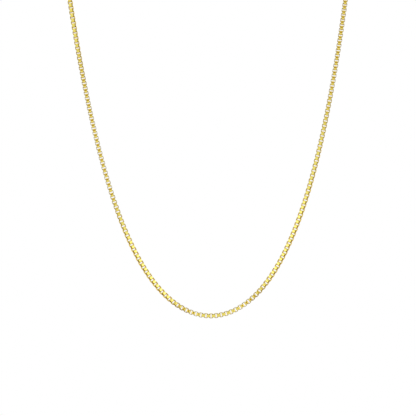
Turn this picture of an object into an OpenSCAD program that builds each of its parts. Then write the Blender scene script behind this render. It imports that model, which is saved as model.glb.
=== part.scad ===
// Box chain necklace, hanging as it is worn: the front falls in a plane, the
// arms turn back over the shoulders and the loop closes at the nape.
// Millimetres. The origin is the middle of the closure, at the nape.
// +X is the wearer's left, +Z is up and the front of the necklace is towards -Y.

/* [Chain] */
// Whole length of the fastened loop, rounded to whole links (24 inch)
chain_length = 610; // [560:5:680]
// Outer width of a link across the chain
link_w = 2.0; // [1.9:0.05:2.2]
// Distance from one link to the next
link_pitch = 1.1; // [1.05:0.01:1.25]
// Width of the flat strip that a link is bent from
strip_w = 1.28; // [1.1:0.02:1.32]
// Thickness of that strip
strip_t = 0.2; // [0.16:0.01:0.22]
// Free play between two links that are hooked into each other
link_play = 0.15; // [0.13:0.01:0.2]
// Outer radius of a link's four bends
bend_r = 0.38; // [0.3:0.01:0.42]
// Number of links modelled one by one on each side of the lowest link
front_links = 118; // [60:2:118]

/* [Drape] */
// Distance between the arms where they turn back over the shoulders
arm_spread = 120; // [110:1:132]
// Height of the hanging front, from its lowest link to that turn
front_drop = 141; // [120:1:150]
// Radius of the turn over the shoulder
shoulder_r = 14; // [10:1:20]
// Height of the nape above the shoulders
nape_rise = 20; // [5:1:30]

/* [Closure] */
// Thickness of the round wire of the two jump rings
ring_wire = 0.5; // [0.4:0.05:0.5]
// Inner radius of the jump rings
ring_bore_r = 1.4; // [1.4:0.05:1.8]
// Radius of the clasp's ring, to the middle of its body
clasp_r = 2.6; // [2.4:0.1:3.4]
// Thickness of the clasp's round body
clasp_wire = 1.2; // [1:0.05:1.3]
// Thickness of the bolt that closes the gap in that body
bolt_wire = 0.8; // [0.6:0.05:0.9]
// Angle over which the bolt shows
bolt_span = 50; // [30:5:60]
// Diameter of the ball on the thumb post
knob_d = 0.8; // [0.6:0.05:1]
// Height of the thumb post, from the body to the middle of the ball
knob_h = 0.6; // [0.4:0.05:0.9]
// Inner radius of the clasp's eye
eye_bore_r = 0.45; // [0.45:0.05:0.6]
// Thickness of the eye's wire
eye_wire = 0.5; // [0.4:0.05:0.6]
// Clearance where one piece of the closure hangs in the next
hook_gap = 0.12; // [0.12:0.01:0.2]

/* [Hidden] */

gold = [0.93, 0.74, 0.3];

// Turn of the chain about its own line. Columns: place on the loop as a share
// of its length from the lowest link, negative on the wearer's right; degrees.
TURN = [
    [-0.50, 0],
    [-0.30, 8],
    [-0.23, 6],
    [-0.19, -4],
    [-0.12, -6],
    [-0.08, -21],
    [-0.036, -24],
    [-0.006, -1],
    [0, 0],
    [0.02, -2],
    [0.05, -21],
    [0.10, -21],
    [0.16, -12],
    [0.21, -4],
    [0.50, 0]
];

// Sizes of a link
link_l = link_pitch + 2 * strip_t + link_play;
opening_l = link_l - 2 * strip_t;

// Sizes of the closure, which lies straight along X. Each piece is pulled up
// to the one it hangs in, with hook_gap between their surfaces.
ring_r = ring_bore_r + ring_wire / 2;
eye_r = eye_bore_r + eye_wire / 2;
eye_x = clasp_r + clasp_wire / 2 + eye_r;
// From a jump ring's centre to the inner face of the link's end that it holds
bar_reach = sqrt(ring_bore_r ^ 2 - (strip_w / 2) ^ 2) - hook_gap;
last_link_reach = bar_reach + opening_l / 2;
ring_in_clasp_x = clasp_r - clasp_wire / 2 - ring_wire / 2 - hook_gap + ring_r;
ring_in_eye_x = eye_x + eye_r - eye_wire / 2 - ring_wire / 2 - hook_gap + ring_r;
closure_half = (ring_in_clasp_x + ring_in_eye_x) / 2 + last_link_reach;
// The eye hangs on the wearer's right, and the clasp's ring is set off the
// middle so that both ends of the chain are equally far from it.
clasp_x = (ring_in_eye_x - ring_in_clasp_x) / 2;

// The hanging front is a catenary: half the spread and the drop fix its
// parameter, the radius of curvature at the lowest link.
function cosh(x) = (exp(x) + exp(-x)) / 2;
function catenary_drop(c) = c * (cosh(arm_spread / 2 / c) - 1);
function solve_catenary(low, high, steps) =
    let (mid = (low + high) / 2)
    steps == 0 ? mid :
    catenary_drop(mid) > front_drop ? solve_catenary(mid, high, steps - 1) :
    solve_catenary(low, mid, steps - 1);
catenary_c = solve_catenary(arm_spread / 12, arm_spread, 40);

// Length of one arm from the lowest link to the shoulder, and its lean there
arm_l = sqrt((front_drop + catenary_c) ^ 2 - catenary_c ^ 2);
arm_lean = atan(catenary_c / arm_l);
turn_l = shoulder_r * PI / 2;

// A quarter of the ring round the neck, seen from above a quarter of an
// ellipse from the shoulder (u = 0) to the closure (u = 90).
ring_half_x = arm_spread / 2 + shoulder_r * sin(arm_lean) - closure_half;
function ring_point(u, depth) = [
    closure_half + ring_half_x * cos(u),
    -depth * (1 - sin(u)),
    -nape_rise * cos(u) ^ 2
];
u_step = 1.5;
function ring_lengths(depth, u = 0, sum = 0) =
    u >= 90 ? [[sum, 90]] :
    concat(
        [[sum, u]],
        ring_lengths(depth, u + u_step, sum + norm(ring_point(u + u_step, depth) - ring_point(u, depth)))
    );
function ring_length(depth) = let (rows = ring_lengths(depth)) rows[len(rows) - 1][0];

// The links on each side of the lowest one, an odd number, so that the last
// link stands upright and takes a jump ring that lies flat.
side_links = 2 * round((chain_length / 2 - closure_half - link_pitch) / link_pitch / 2) + 1;
ring_target = side_links * link_pitch - arm_l - turn_l;
function solve_depth(low, high, steps) =
    let (mid = (low + high) / 2)
    steps == 0 ? mid :
    ring_length(mid) < ring_target ? solve_depth(mid, high, steps - 1) :
    solve_depth(low, mid, steps - 1);
ring_depth = solve_depth(0, ring_target, 30);
RING_LENGTHS = ring_lengths(ring_depth);

front_y = -ring_depth - shoulder_r;
shoulder_z = -nape_rise - shoulder_r * cos(arm_lean);
bottom_z = shoulder_z - front_drop;

// Place on the wearer's left at s along the chain from the lowest link:
// [point, direction of the chain, outward direction].
function on_arm(s) =
    let (h = sqrt(catenary_c ^ 2 + s ^ 2))
    [
        [catenary_c * ln((s + h) / catenary_c), front_y, bottom_z + h - catenary_c],
        [catenary_c, 0, s] / h,
        [0, -1, 0]
    ];
function on_shoulder(s) =
    let (
        a = s / turn_l * 90,
        up = [sin(arm_lean), 0, cos(arm_lean)],
        back = [0, 1, 0],
        top = [arm_spread / 2, front_y, shoulder_z]
    )
    [
        top + shoulder_r * (sin(a) * up + (1 - cos(a)) * back),
        cos(a) * up + sin(a) * back,
        sin(a) * up - cos(a) * back
    ];
function unit(v) = v / norm(v);
function on_ring(s) =
    let (
        u = lookup(s, RING_LENGTHS),
        t = unit([
            -ring_half_x * sin(u),
            ring_depth * cos(u),
            2 * nape_rise * cos(u) * sin(u)
        ]),
        lean = arm_lean * cos(u),
        up = [sin(lean), 0, cos(lean)]
    )
    [ring_point(u, ring_depth), t, unit(up - (up * t) * t)];
function on_left(s) =
    s < arm_l ? on_arm(s) :
    s < arm_l + turn_l ? on_shoulder(s - arm_l) :
    on_ring(s - arm_l - turn_l);

// The same anywhere on the loop: s runs from the nape down the wearer's right
// side, which mirrors the left, and up the left side.
function on_chain(s) =
    let (place = on_left(abs(s)), p = place[0], t = place[1], n = place[2])
    s >= 0 ? place : [[-p.x, p.y, p.z], [t.x, -t.y, -t.z], [-n.x, n.y, n.z]];

// Matrix that sets a piece on the chain: its X across the chain, its Y along
// the chain and its Z outwards, turned about the chain by a given angle.
function chain_frame(s, angle) =
    let (
        place = on_chain(s),
        p = place[0],
        t = place[1],
        side = cross(t, place[2]),
        out = cos(angle) * place[2] + sin(angle) * side,
        across = cross(t, out)
    )
    [
        [across.x, t.x, out.x, p.x],
        [across.y, t.y, out.y, p.y],
        [across.z, t.z, out.z, p.z],
        [0, 0, 0, 1]
    ];
function turn_at(s) = lookup(s / chain_length, TURN);

module rounded_rect(w, l, r) {
    square([w - 2 * r, l], center = true);
    square([w, l - 2 * r], center = true);
    for (x = [-1, 1], y = [-1, 1])
        translate([x * (w / 2 - r), y * (l / 2 - r)])
            circle(r = r, $fn = 32);
}

// One link, a closed frame of flat strip: X across the chain, Y along it and
// Z the way that the frame is open.
module link() {
    linear_extrude(height = strip_w, center = true)
        difference() {
            rounded_rect(link_w, link_l, bend_r);
            rounded_rect(link_w - 2 * strip_t, opening_l, bend_r - strip_t);
        }
}

// Link number k from the lowest one. Each is a quarter turn on from the last.
module set_link(k) {
    s = k * link_pitch;
    multmatrix(chain_frame(s, turn_at(s) + (k % 2 == 0 ? 0 : 90)))
        link();
}

// The stretch round the back in plain form: a tube with the eight corners of
// the chain's own outline, from link number k_from to link number k_to.
module chain_tube(k_from, k_to) {
    s_from = k_from * link_pitch;
    length = (k_to - k_from) * link_pitch;
    w = link_w / 2;
    e = strip_w / 2;
    outline = [[w, e], [e, w], [-e, w], [-w, e], [-w, -e], [-e, -w], [e, -w], [w, -e]];
    sides = len(outline);
    spans = floor(length / (2.2 * link_w));
    points = [
        for (i = [0 : spans])
            let (s = s_from + length * i / spans, m = chain_frame(s, turn_at(s)))
            for (q = outline)
                [for (row = [0 : 2]) m[row][0] * q.x + m[row][2] * q.y + m[row][3]]
    ];
    walls = [
        for (i = [0 : spans - 1], j = [0 : sides - 1])
            let (a = i * sides + j, b = i * sides + (j + 1) % sides)
            [a, b, b + sides, a + sides]
    ];
    start_cap = [for (j = [sides - 1 : -1 : 0]) j];
    end_cap = [for (j = [0 : sides - 1]) spans * sides + j];
    polyhedron(points = points, faces = concat([start_cap], walls, [end_cap]));
}

module chain_front() {
    color(gold)
        for (k = [-front_links : front_links])
            set_link(k);
}

// Two real links at each end of the chain hold the jump rings.
module chain_back() {
    // From a link's centre to the end of the tube beside it, in links
    clear = (link_l / 2 + link_play) / link_pitch;
    color(gold) {
        chain_tube(front_links + clear, side_links - 1 - clear);
        chain_tube(1 - side_links + clear, -front_links - clear);
        for (k = [side_links - 1, side_links, 1 - side_links, -side_links])
            set_link(k);
    }
}

// Round wire bent to radius r, from one angle to another about Z.
module wire_arc(r, wire, from = 0, to = 360) {
    rotate([0, 0, from])
        rotate_extrude(angle = to - from, $fn = 48)
            translate([r, 0])
                circle(d = wire, $fn = 24);
}

// A round spring clasp as one plain piece, flat against the neck: the body,
// the bolt across the gap in it, the thumb post that draws the bolt, and the eye.
module clasp() {
    bolt_start = 25;
    bolt_end = bolt_start + bolt_span;
    // How far the bolt runs on inside the body, and the post's place past the gap
    bolt_hidden = 3;
    knob_turn = bolt_end + 10;
    color(gold)
        translate([clasp_x, 0, 0])
            rotate([90, 0, 0]) {
                wire_arc(clasp_r, clasp_wire, bolt_end, bolt_start + 360);
                wire_arc(clasp_r, bolt_wire, bolt_start - bolt_hidden, bolt_end + bolt_hidden);
                rotate([0, 0, knob_turn])
                    translate([clasp_r, 0, 0])
                        rotate([0, 90, 0])
                            thumb_post();
                translate([-eye_x, 0, 0])
                    wire_arc(eye_r, eye_wire);
            }
}

// Stands up along Z from the middle of the clasp's body.
module thumb_post() {
    top = clasp_wire / 2 + knob_h;
    cylinder(d = knob_d * 0.6, h = top, $fn = 24);
    translate([0, 0, top])
        sphere(d = knob_d, $fn = 24);
}

module jump_ring(x) {
    color(gold)
        translate([x, 0, 0])
            wire_arc(ring_r, ring_wire);
}

chain_front();
chain_back();
clasp();
jump_ring(clasp_x + ring_in_clasp_x);  // jump_ring_left
jump_ring(clasp_x - ring_in_eye_x);  // jump_ring_right
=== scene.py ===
import math

import bmesh
import bpy
from mathutils import Matrix, Vector


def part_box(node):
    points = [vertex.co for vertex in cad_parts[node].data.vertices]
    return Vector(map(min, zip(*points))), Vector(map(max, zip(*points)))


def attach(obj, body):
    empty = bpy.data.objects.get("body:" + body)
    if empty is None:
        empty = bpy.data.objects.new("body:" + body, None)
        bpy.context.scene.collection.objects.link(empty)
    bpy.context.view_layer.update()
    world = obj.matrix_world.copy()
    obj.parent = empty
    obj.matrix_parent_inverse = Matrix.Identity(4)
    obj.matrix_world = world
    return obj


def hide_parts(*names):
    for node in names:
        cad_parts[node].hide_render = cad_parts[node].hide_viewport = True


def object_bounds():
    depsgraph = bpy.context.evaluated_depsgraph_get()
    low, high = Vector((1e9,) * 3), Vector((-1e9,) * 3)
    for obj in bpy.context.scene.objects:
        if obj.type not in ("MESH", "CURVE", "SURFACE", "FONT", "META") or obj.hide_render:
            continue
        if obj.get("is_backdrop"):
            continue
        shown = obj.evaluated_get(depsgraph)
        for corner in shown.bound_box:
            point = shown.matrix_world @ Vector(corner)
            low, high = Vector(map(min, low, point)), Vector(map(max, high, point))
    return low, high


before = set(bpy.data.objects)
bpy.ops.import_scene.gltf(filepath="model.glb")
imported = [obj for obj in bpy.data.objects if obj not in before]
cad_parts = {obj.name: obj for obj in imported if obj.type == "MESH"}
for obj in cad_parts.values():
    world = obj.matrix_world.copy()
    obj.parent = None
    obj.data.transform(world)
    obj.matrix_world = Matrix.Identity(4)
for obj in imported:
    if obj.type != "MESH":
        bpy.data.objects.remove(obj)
cad_low, cad_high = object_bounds()

# A link is a short piece of flat strip, bent into a small square frame and soldered
# shut. The four bends stay round, and polishing has broken the outer rims. Hundreds of
# them hook through each other, each a quarter turn on from the last.
link_width = 0.0020
link_pitch = 0.0011
link_play = 0.00015
strip_width = 0.00128
strip_thickness = 0.0002
link_length = link_pitch + 2 * strip_thickness + link_play
bend_radius = 0.00038
bend_steps = 2
# How much of the strip's thickness and of its width the broken rim takes
break_depth = 0.00005
break_reach = 0.0001
# Cosines with the strip's width that tell its cut edges, broken rims and walls apart
along_width = 0.9
on_broken_rim = 0.3
across_width = 0.1


def deselect_all():
    bpy.ops.object.select_all(action="DESELECT")


def select_parts(obj, kind, test):
    """In edit mode, selects only the faces or edges of obj that pass a test."""
    bpy.ops.mesh.select_all(action="DESELECT")
    mesh = bmesh.from_edit_mesh(obj.data)
    mesh.normal_update()
    for part in getattr(mesh, kind):
        if test(part):
            part.select_set(True)
    mesh.select_flush_mode()
    bmesh.update_edit_mesh(obj.data)


def is_upright(edge):
    run = edge.verts[0].co - edge.verts[1].co
    return abs(run.z) > along_width * run.length


def is_level(face):
    return abs(face.normal.z) > along_width


def faces_out(face):
    middle = face.calc_center_median()
    return face.normal.x * middle.x + face.normal.y * middle.y > 0


def is_outer_rim(edge):
    level = [is_level(face) for face in edge.link_faces]
    walls = [face for face in edge.link_faces if not is_level(face)]
    return any(level) and len(walls) == 1 and faces_out(walls[0])


def parts_wall_from_rim(edge):
    leans = sorted(abs(face.normal.z) for face in edge.link_faces)
    return leans[0] < across_width < leans[-1] < along_width


deselect_all()
bpy.ops.mesh.primitive_cube_add(size=1)
link = bpy.context.object
link.name = "link"
link.scale = (link_width, link_length, strip_width)
bpy.ops.object.transform_apply(location=False, rotation=False, scale=True)
bpy.ops.object.mode_set(mode="EDIT")
bpy.ops.mesh.select_mode(type="EDGE")
select_parts(link, "edges", is_upright)
bpy.ops.mesh.bevel(offset=bend_radius, segments=bend_steps, affect="EDGES")
bpy.ops.mesh.select_mode(type="FACE")
select_parts(link, "faces", is_level)
bpy.ops.mesh.inset(thickness=strip_thickness)
bpy.ops.mesh.bridge_edge_loops()
bpy.ops.mesh.select_mode(type="EDGE")
select_parts(link, "edges", is_outer_rim)
bpy.ops.mesh.bevel(offset=break_depth, segments=1, affect="EDGES")
select_parts(link, "edges", parts_wall_from_rim)
half_width = strip_width / 2
squeeze = (half_width - break_reach) / (half_width - break_depth)
bpy.ops.transform.resize(value=(1, 1, squeeze))
# The bends shade as smooth rounds, and the rims stay crisp.
select_parts(link, "edges", lambda edge: not is_upright(edge))
bpy.ops.mesh.mark_sharp()
bpy.ops.mesh.select_all(action="SELECT")
bpy.ops.mesh.faces_shade_smooth()
bpy.ops.object.mode_set(mode="OBJECT")

# Only the outer faces show the gold's own bright colour. The strip's cut edges and broken rims are
# given a darker colour, which is painted shade. The faces that look into the link are given a
# darker, more orange colour, also painted shade, and their surface is rougher too, as no polishing
# wheel gets at them.
edge_shade_and_polish = 0.5
inside_shade_and_polish = 1.0
polish_and_shade = link.data.attributes.new("polish_and_shade", "FLOAT", "FACE")
for face in link.data.polygons:
    outward = face.normal.x * face.center.x + face.normal.y * face.center.y
    if abs(face.normal.z) > on_broken_rim:
        polish_and_shade.data[face.index].value = edge_shade_and_polish
    elif outward < 0:
        polish_and_shade.data[face.index].value = inside_shade_and_polish

# The chain's metal is yellow gold plate. Its outer faces show its own colour, while the edges and
# the faces within carry painted shade as darker colours, and the faces within are rougher too. Fine
# random scratches and faint haze from wear break up its gloss.
chain_colour = (0.94, 0.79, 0.20, 1)
edge_shade_colour = (0.47, 0.42, 0.12, 1)
inside_shade_colour = (0.82, 0.57, 0.18, 1)
polished_roughness = 0.12
hazy_roughness = 0.26
inside_roughness = 0.45


def make_wear_group():
    """Haze and scratches of worn plating, as two masks."""
    group = bpy.data.node_groups.new("plating wear", "ShaderNodeTree")
    group.interface.new_socket("Haze per metre", in_out="INPUT", socket_type="NodeSocketFloat")
    group.interface.new_socket("Scratches per metre", in_out="INPUT", socket_type="NodeSocketFloat")
    group.interface.new_socket("Haze", in_out="OUTPUT", socket_type="NodeSocketFloat")
    group.interface.new_socket("Scratches", in_out="OUTPUT", socket_type="NodeSocketFloat")
    nodes = group.nodes
    connect = group.links.new
    given = nodes.new("NodeGroupInput")
    result = nodes.new("NodeGroupOutput")
    place = nodes.new("ShaderNodeTexCoord")
    haze = nodes.new("ShaderNodeTexNoise")
    haze.inputs["Detail"].default_value = 3
    haze.inputs["Roughness"].default_value = 0.55
    connect(place.outputs["Object"], haze.inputs["Vector"])
    connect(given.outputs["Haze per metre"], haze.inputs["Scale"])
    scratches = nodes.new("ShaderNodeTexNoise")
    scratches.inputs["Detail"].default_value = 5
    scratches.inputs["Roughness"].default_value = 0.7
    scratches.inputs["Distortion"].default_value = 1.2
    connect(place.outputs["Object"], scratches.inputs["Vector"])
    connect(given.outputs["Scratches per metre"], scratches.inputs["Scale"])
    sharpen = nodes.new("ShaderNodeMapRange")
    sharpen.inputs["From Min"].default_value = 0.35
    sharpen.inputs["From Max"].default_value = 0.65
    connect(scratches.outputs["Fac"], sharpen.inputs["Value"])
    connect(haze.outputs["Fac"], result.inputs["Haze"])
    connect(sharpen.outputs["Result"], result.inputs["Scratches"])
    return group


plating_wear = make_wear_group()


def start_plating(name, haze_per_metre, scratches_per_metre, scratch_depth):
    """A gold-plated material with its wear, its shader's Base Color and Roughness left open."""
    material = bpy.data.materials.new(name)
    material.use_nodes = True
    tree = material.node_tree
    shader = tree.nodes["Principled BSDF"]
    shader.inputs["Metallic"].default_value = 1
    wear = tree.nodes.new("ShaderNodeGroup")
    wear.node_tree = plating_wear
    wear.inputs["Haze per metre"].default_value = haze_per_metre
    wear.inputs["Scratches per metre"].default_value = scratches_per_metre
    bump = tree.nodes.new("ShaderNodeBump")
    bump.inputs["Strength"].default_value = 0.12
    bump.inputs["Distance"].default_value = scratch_depth
    tree.links.new(wear.outputs["Scratches"], bump.inputs["Height"])
    tree.links.new(bump.outputs["Normal"], shader.inputs["Normal"])
    return material, shader, wear


def map_value(material, source, low, high):
    """Maps a mask of 0 to 1 onto low to high, and returns the output socket."""
    node = material.node_tree.nodes.new("ShaderNodeMapRange")
    node.inputs["To Min"].default_value = low
    node.inputs["To Max"].default_value = high
    material.node_tree.links.new(source, node.inputs["Value"])
    return node.outputs["Result"]


chain_gold, chain_shader, chain_wear = start_plating(
    "chain gold", haze_per_metre=900, scratches_per_metre=9000, scratch_depth=0.000004
)
nodes = chain_gold.node_tree.nodes
connect = chain_gold.node_tree.links.new
polish_and_shade_mask = nodes.new("ShaderNodeAttribute")
polish_and_shade_mask.attribute_name = "polish_and_shade"
# Painted shade: the ramp gives the cut edges and rims, and the faces within, darker colours than
# the outer faces.
colour = nodes.new("ShaderNodeValToRGB")
colour.color_ramp.elements[0].color = chain_colour
colour.color_ramp.elements[1].color = inside_shade_colour
colour.color_ramp.elements.new(edge_shade_and_polish).color = edge_shade_colour
connect(polish_and_shade_mask.outputs["Fac"], colour.inputs["Fac"])
connect(colour.outputs["Color"], chain_shader.inputs["Base Color"])
outer_roughness = map_value(
    chain_gold, chain_wear.outputs["Haze"], polished_roughness, hazy_roughness
)
roughness = nodes.new("ShaderNodeMapRange")
roughness.inputs["To Max"].default_value = inside_roughness
connect(polish_and_shade_mask.outputs["Fac"], roughness.inputs["Value"])
connect(outer_roughness, roughness.inputs["To Min"])
connect(roughness.outputs["Result"], chain_shader.inputs["Roughness"])
link.data.materials.append(chain_gold)

# The front hangs freely from the shoulders in one upright plane, so it takes the curve
# of a chain under its own weight. It was laid on with a little turn in it, which shows
# the links now face on and now from one side.
arm_spread = 0.120
front_drop = 0.141
chain_length = 0.610
front_links = 118
front_low, front_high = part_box("chain_front")
front_y = (front_low.y + front_high.y) / 2
bottom_z = front_low.z + link_width / 2
# Columns: share of the chain's length from the lowest link, negative on the wearer's
# right, and the chain's turn there in degrees.
turns = [
    (-0.50, 0),
    (-0.30, 8),
    (-0.23, 6),
    (-0.19, -4),
    (-0.12, -6),
    (-0.08, -21),
    (-0.036, -24),
    (-0.006, -1),
    (0, 0),
    (0.02, -2),
    (0.05, -21),
    (0.10, -21),
    (0.16, -12),
    (0.21, -4),
    (0.50, 0),
]


def turn_at(s):
    share = s / chain_length
    for (from_share, from_turn), (to_share, to_turn) in zip(turns, turns[1:]):
        if share <= to_share:
            mix = (share - from_share) / (to_share - from_share)
            return from_turn + (to_turn - from_turn) * mix
    return turns[-1][1]


# The curve's parameter is its radius at the lowest link. Halving a range finds the one
# that gives the drop.
halvings = 50
low_c = arm_spread / 12
high_c = arm_spread
for _ in range(halvings):
    catenary_c = (low_c + high_c) / 2
    if catenary_c * (math.cosh(arm_spread / 2 / catenary_c) - 1) > front_drop:
        low_c = catenary_c
    else:
        high_c = catenary_c
arm_length = math.sqrt((front_drop + catenary_c) ** 2 - catenary_c**2)


def on_arm(s):
    """Place, direction and outward side at s along the left arm from the lowest link."""
    reach = math.hypot(catenary_c, s)
    x = catenary_c * math.asinh(s / catenary_c)
    place = Vector((x, front_y, bottom_z + reach - catenary_c))
    return place, Vector((catenary_c, 0, s)) / reach, Vector((0, -1, 0))


def set_links(name, numbers, left_route):
    """Copies of the link along the chain, joined. The right side mirrors the left one."""
    deselect_all()
    for number in numbers:
        s = number * link_pitch
        place, along, outward = left_route(abs(s))
        if s < 0:
            place = Vector((-place.x, place.y, place.z))
            along = Vector((along.x, -along.y, -along.z))
            outward = Vector((-outward.x, outward.y, outward.z))
        angle = turn_at(s) + 90 * (number % 2)
        out = Matrix.Rotation(math.radians(angle), 3, along) @ outward
        across = along.cross(out)
        copy = link.copy()
        copy.data = link.data.copy()
        copy.data.transform(
            Matrix.Translation(place) @ Matrix((across, along, out)).transposed().to_4x4()
        )
        bpy.context.collection.objects.link(copy)
        copy.select_set(True)
    bpy.context.view_layer.objects.active = copy
    bpy.ops.object.join()
    copy.name = name
    return copy


front_chain = set_links("front_chain", range(-front_links, front_links + 1), on_arm)
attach(front_chain, "root")
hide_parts("chain_front")

# The rest of the chain turns back over the shoulders and goes plainly round the neck,
# rising to the nape. It is the same chain, and its last links hold the jump rings.
shoulder_radius = 0.014
hook_gap = 0.00012
arm_lean = math.atan(catenary_c / arm_length)
shoulder_z = bottom_z + front_drop
turn_length = shoulder_radius * math.pi / 2
ring_depth = -front_y - shoulder_radius
nape_rise = -shoulder_z - shoulder_radius * math.cos(arm_lean)
left_low, left_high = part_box("jump_ring_left")
ring_wire = left_high.z - left_low.z
ring_bore_radius = (left_high.x - left_low.x) / 2 - ring_wire
bar_reach = math.sqrt(ring_bore_radius**2 - (strip_width / 2) ** 2) - hook_gap
left_ring_x = (left_low.x + left_high.x) / 2
closure_half = left_ring_x + bar_reach + link_length / 2 - strip_thickness
ring_half_x = arm_spread / 2 + shoulder_radius * math.sin(arm_lean) - closure_half


def ring_point(u):
    """A point on the way round the neck. The shoulder is at u = 0, the closure a right angle on."""
    return Vector((
        closure_half + ring_half_x * math.cos(u),
        -ring_depth * (1 - math.sin(u)),
        -nape_rise * math.cos(u) ** 2,
    ))


ring_steps = 360
ring_angles = [math.pi / 2 * step / ring_steps for step in range(ring_steps + 1)]
ring_lengths = [0.0]
for start, end in zip(ring_angles, ring_angles[1:]):
    ring_lengths.append(ring_lengths[-1] + (ring_point(end) - ring_point(start)).length)
side_links = round((arm_length + turn_length + ring_lengths[-1]) / link_pitch)


def on_shoulder(s):
    angle = s / shoulder_radius
    up = Vector((math.sin(arm_lean), 0, math.cos(arm_lean)))
    back = Vector((0, 1, 0))
    top = Vector((arm_spread / 2, front_y, shoulder_z))
    place = top + shoulder_radius * (math.sin(angle) * up + (1 - math.cos(angle)) * back)
    along = math.cos(angle) * up + math.sin(angle) * back
    return place, along, math.sin(angle) * up - math.cos(angle) * back


def on_ring(s):
    step = min(sum(length <= s for length in ring_lengths), ring_steps) - 1
    spare = (s - ring_lengths[step]) / (ring_lengths[step + 1] - ring_lengths[step])
    u = ring_angles[step] + spare * math.pi / 2 / ring_steps
    along = Vector((
        -ring_half_x * math.sin(u),
        ring_depth * math.cos(u),
        2 * nape_rise * math.cos(u) * math.sin(u),
    )).normalized()
    lean = arm_lean * math.cos(u)
    up = Vector((math.sin(lean), 0, math.cos(lean)))
    return ring_point(u), along, (up - up.dot(along) * along).normalized()


def on_whole_side(s):
    if s < arm_length:
        return on_arm(s)
    if s < arm_length + turn_length:
        return on_shoulder(s - arm_length)
    return on_ring(s - arm_length - turn_length)


back_numbers = [
    number
    for number in range(-side_links, side_links + 1)
    if abs(number) > front_links
]
back_chain = set_links("back_chain", back_numbers, on_whole_side)
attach(back_chain, "root")
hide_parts("chain_back")
bpy.data.objects.remove(link)

# The jump rings are round wire, wound on a rod, cut and pressed shut. The butt joint
# still shows as a fine line. Each passes through a last link and a part of the clasp.
wire_sides = 20
joint_gap = math.radians(1.4)
end_break_share = 0.08
merge_distance = 1e-7
smooth_angle = math.radians(35)
closure_colour = (0.94, 0.78, 0.21, 1)
worn_colour = (0.84, 0.66, 0.20, 1)
bright_roughness = 0.10
worn_roughness = 0.30


def mix_colours(material, mask, first, second):
    node = material.node_tree.nodes.new("ShaderNodeMix")
    node.data_type = "RGBA"
    node.inputs["A"].default_value = first
    node.inputs["B"].default_value = second
    material.node_tree.links.new(mask, node.inputs["Factor"])
    return node.outputs["Result"]


closure_gold, closure_shader, closure_wear = start_plating(
    "closure gold", haze_per_metre=1500, scratches_per_metre=12000, scratch_depth=0.000006
)
haze = closure_wear.outputs["Haze"]
connect = closure_gold.node_tree.links.new
colour = mix_colours(closure_gold, haze, closure_colour, worn_colour)
connect(colour, closure_shader.inputs["Base Color"])
roughness = map_value(closure_gold, haze, bright_roughness, worn_roughness)
connect(roughness, closure_shader.inputs["Roughness"])


def borders_an_end(edge):
    return any(len(face.verts) == wire_sides for face in edge.link_faces)


def bend_wire(name, radius, wire, start, end, steps):
    """Round wire bent about Z from one angle to another, its ends closed and broken."""
    deselect_all()
    bpy.ops.mesh.primitive_circle_add(
        vertices=wire_sides,
        radius=wire / 2,
        location=(radius * math.cos(start), radius * math.sin(start), 0),
        rotation=(math.pi / 2, 0, start),
    )
    piece = bpy.context.object
    piece.name = name
    bpy.ops.object.transform_apply()
    bpy.ops.object.mode_set(mode="EDIT")
    bpy.ops.mesh.select_all(action="SELECT")
    # Seen from above, a positive angle spins clockwise.
    bpy.ops.mesh.spin(steps=steps, angle=start - end, center=(0, 0, 0), axis=(0, 0, 1))
    bpy.ops.mesh.select_mode(type="EDGE")
    if not math.isclose(end - start, 2 * math.pi):
        select_parts(piece, "edges", lambda edge: edge.is_boundary)
        bpy.ops.mesh.edge_face_add()
        select_parts(piece, "edges", borders_an_end)
        bpy.ops.mesh.bevel(offset=wire * end_break_share, segments=2, affect="EDGES")
    bpy.ops.mesh.select_all(action="SELECT")
    bpy.ops.mesh.remove_doubles(threshold=merge_distance)
    bpy.ops.mesh.normals_make_consistent(inside=False)
    bpy.ops.object.mode_set(mode="OBJECT")
    return piece


def dress(piece, node):
    """Finish and frame calls of a piece of the closure."""
    deselect_all()
    piece.select_set(True)
    bpy.context.view_layer.objects.active = piece
    bpy.ops.object.shade_smooth_by_angle(angle=smooth_angle)
    piece.data.materials.append(closure_gold)
    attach(piece, "root")
    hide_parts(node)


# Columns: side, and where on the ring its joint lies, in degrees from +X.
ring_joints = [
    ("left", -60),
    ("right", 120),
]
for side, joint_at in ring_joints:
    node = "jump_ring_" + side
    low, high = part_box(node)
    start = math.radians(joint_at) + joint_gap / 2
    ring = bend_wire(
        "ring_" + side,
        radius=ring_bore_radius + ring_wire / 2,
        wire=ring_wire,
        start=start,
        end=start + 2 * math.pi - joint_gap,
        steps=56,
    )
    ring.data.transform(Matrix.Translation((low + high) / 2))
    dress(ring, node)

# The clasp is a round spring clasp, plated and shown closed: a tube bent to a ring, a
# thinner bolt across its gap, the thumb post that draws the bolt, and the eye soldered
# to its side. It lies flat against the neck.
clasp_radius = 0.0026
clasp_wire = 0.0012
bolt_wire = 0.0008
bolt_span = math.radians(50)
bolt_start = math.radians(25)
bolt_end = bolt_start + bolt_span
bolt_hidden = math.radians(3)
knob_size = 0.0008
knob_height = 0.0006
knob_turn = bolt_end + math.radians(10)
post_radius = knob_size * 0.3
post_top = clasp_wire / 2 + knob_height
eye_bore_radius = 0.00045
eye_wire = 0.0005
eye_radius = eye_bore_radius + eye_wire / 2
eye_x = clasp_radius + clasp_wire / 2 + eye_radius
clasp_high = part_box("clasp")[1]
clasp_x = clasp_high.x - clasp_radius - clasp_wire / 2


def add_to(piece, extra):
    """Joins extra to piece as one closed solid."""
    deselect_all()
    union = piece.modifiers.new("union", "BOOLEAN")
    union.operation = "UNION"
    union.solver = "EXACT"
    union.object = extra
    piece.select_set(True)
    bpy.context.view_layer.objects.active = piece
    bpy.ops.object.modifier_apply(modifier=union.name)
    bpy.data.objects.remove(extra)


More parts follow.
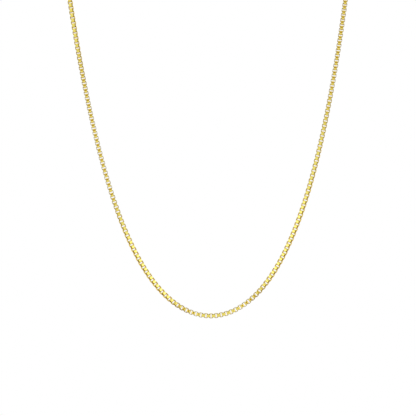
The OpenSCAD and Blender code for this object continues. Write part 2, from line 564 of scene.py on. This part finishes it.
clasp = bend_wire(
    "spring_clasp",
    radius=clasp_radius,
    wire=clasp_wire,
    start=bolt_end,
    end=bolt_start + 2 * math.pi,
    steps=64,
)
bolt = bend_wire(
    "bolt",
    radius=clasp_radius,
    wire=bolt_wire,
    start=bolt_start - bolt_hidden,
    end=bolt_end + bolt_hidden,
    steps=14,
)
add_to(clasp, bolt)
eye = bend_wire("eye", radius=eye_radius, wire=eye_wire, start=0, end=2 * math.pi, steps=32)
eye.data.transform(Matrix.Translation((-eye_x, 0, 0)))
add_to(clasp, eye)

deselect_all()
bpy.ops.mesh.primitive_cylinder_add(
    vertices=wire_sides, radius=post_radius, depth=post_top, location=(0, 0, post_top / 2)
)
post = bpy.context.object
bpy.ops.object.transform_apply()
deselect_all()
bpy.ops.mesh.primitive_uv_sphere_add(
    segments=24, ring_count=14, radius=knob_size / 2, location=(0, 0, post_top)
)
knob = bpy.context.object
bpy.ops.object.transform_apply()
add_to(post, knob)
post.data.transform(
    Matrix.Rotation(knob_turn, 4, "Z")
    @ Matrix.Translation((clasp_radius, 0, 0))
    @ Matrix.Rotation(math.pi / 2, 4, "Y")
)
add_to(clasp, post)
clasp.data.transform(Matrix.Translation((clasp_x, 0, 0)) @ Matrix.Rotation(math.pi / 2, 4, "X"))
dress(clasp, "clasp")

# The necklace hangs well above a plain pale floor, in front of nothing but white.
floor_drop = 1.1
floor_size = 40
deselect_all()
bpy.ops.mesh.primitive_plane_add(size=floor_size, location=(0, 0, cad_low.z - floor_drop))
floor = bpy.context.object
floor.name = "floor"
pale = bpy.data.materials.new("pale floor")
pale.use_nodes = True
pale_shader = pale.node_tree.nodes["Principled BSDF"]
pale_shader.inputs["Base Color"].default_value = (0, 0, 0, 1)
pale_shader.inputs["Specular IOR Level"].default_value = 0
pale_shader.inputs["Emission Color"].default_value = (1, 1, 1, 1)
pale_shader.inputs["Emission Strength"].default_value = 1
floor.data.materials.append(pale)
floor.visible_glossy = False
floor.visible_diffuse = False
floor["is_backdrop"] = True

# Soft studio light. Behind the necklace the eye sees plain white, but the metal mirrors
# a pale room. The room is warmer behind the necklace, bright high up there and dim low
# down. It is dim in front too, just above eye level, with a soft box on either side.
room_colour = (0.91, 0.93, 0.87, 1)
# Columns: direction, cosine from it where the colour starts and where it is full, colour.
room_parts = [
    (Vector((0, 1, 0)), -0.3, 0.3, (0.88, 0.70, 0.33, 1)),
    (Vector((0, 0.7, 0.714)), 0.85, 0.97, (1.2, 1.2, 1.15, 1)),
    (Vector((0, 0.94, -0.341)), 0.88, 0.97, (0.42, 0.27, 0.10, 1)),
    (Vector((0, -0.966, 0.259)), 0.935, 0.985, (0.44, 0.26, 0.07, 1)),
]
world = bpy.data.worlds.new("studio")
bpy.context.scene.world = world
world.use_nodes = True
nodes = world.node_tree.nodes
connect = world.node_tree.links.new
sky = nodes.new("ShaderNodeTexCoord")
walls = None
for direction, start, full, part_colour in room_parts:
    along = nodes.new("ShaderNodeVectorMath")
    along.operation = "DOT_PRODUCT"
    along.inputs[1].default_value = direction
    connect(sky.outputs["Generated"], along.inputs[0])
    share = nodes.new("ShaderNodeMapRange")
    share.interpolation_type = "SMOOTHSTEP"
    share.inputs["From Min"].default_value = start
    share.inputs["From Max"].default_value = full
    connect(along.outputs["Value"], share.inputs["Value"])
    blend = nodes.new("ShaderNodeMix")
    blend.data_type = "RGBA"
    blend.inputs["B"].default_value = part_colour
    if walls:
        connect(walls, blend.inputs["A"])
    else:
        blend.inputs["A"].default_value = room_colour
    connect(share.outputs["Result"], blend.inputs["Factor"])
    walls = blend.outputs["Result"]
room = nodes["Background"]
connect(walls, room.inputs["Color"])
white = nodes.new("ShaderNodeBackground")
white.inputs["Color"].default_value = (1, 1, 1, 1)
seen = nodes.new("ShaderNodeLightPath")
choice = nodes.new("ShaderNodeMixShader")
connect(seen.outputs["Is Camera Ray"], choice.inputs["Fac"])
connect(room.outputs["Background"], choice.inputs[1])
connect(white.outputs["Background"], choice.inputs[2])
connect(choice.outputs["Shader"], nodes["World Output"].inputs["Surface"])

aim_height = 0.05
aim = Vector((0, front_y, bottom_z + aim_height))
# Columns: place from the point that the box is aimed at, side of the square, watts.
soft_boxes = [
    (Vector((-0.72, -0.65, 0.35)), 0.6, 0.9),
    (Vector((0.72, -0.65, 0.35)), 0.6, 0.9),
]
for offset, size, power in soft_boxes:
    lamp = bpy.data.lights.new("soft box", "AREA")
    lamp.shape = "SQUARE"
    lamp.size = size
    lamp.energy = power
    holder = bpy.data.objects.new("soft box", lamp)
    bpy.context.collection.objects.link(holder)
    holder.location = aim + offset
    holder.rotation_euler = (-offset).to_track_quat("-Z", "Y").to_euler()

# The camera looks at the hanging front squarely, from a little below its middle, and
# leans by half a degree. The arms pass out of the picture at the top.
camera_lean = math.radians(0.58)
# In pixels: the picture's width, the links' pitch and the lowest link's place
picture_width_px = 416
link_pitch_px = 2.556
lowest_link_px = (211.06, 315.85)
metres_per_px = link_pitch / link_pitch_px
picture_right = Vector((math.cos(camera_lean), 0, -math.sin(camera_lean)))
picture_up = Vector((math.sin(camera_lean), 0, math.cos(camera_lean)))
right_of_middle = (lowest_link_px[0] - picture_width_px / 2) * metres_per_px
under_middle = (lowest_link_px[1] - picture_width_px / 2) * metres_per_px
lowest_link = Vector((0, front_y, bottom_z))
middle = lowest_link + picture_up * under_middle - picture_right * right_of_middle
camera_data = bpy.data.cameras.new("camera")
camera_data.sensor_width = 36
camera_data.lens = 100
camera_data.clip_start = 0.01
camera_data.clip_end = 100
distance = picture_width_px * metres_per_px * camera_data.lens / camera_data.sensor_width
camera = bpy.data.objects.new("camera", camera_data)
camera.location = middle + Vector((0, -distance, 0))
camera.rotation_euler = (math.pi / 2, camera_lean, 0)
bpy.context.collection.objects.link(camera)
bpy.context.scene.camera = camera
bpy.context.scene.view_settings.view_transform = "Standard"

low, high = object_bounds()
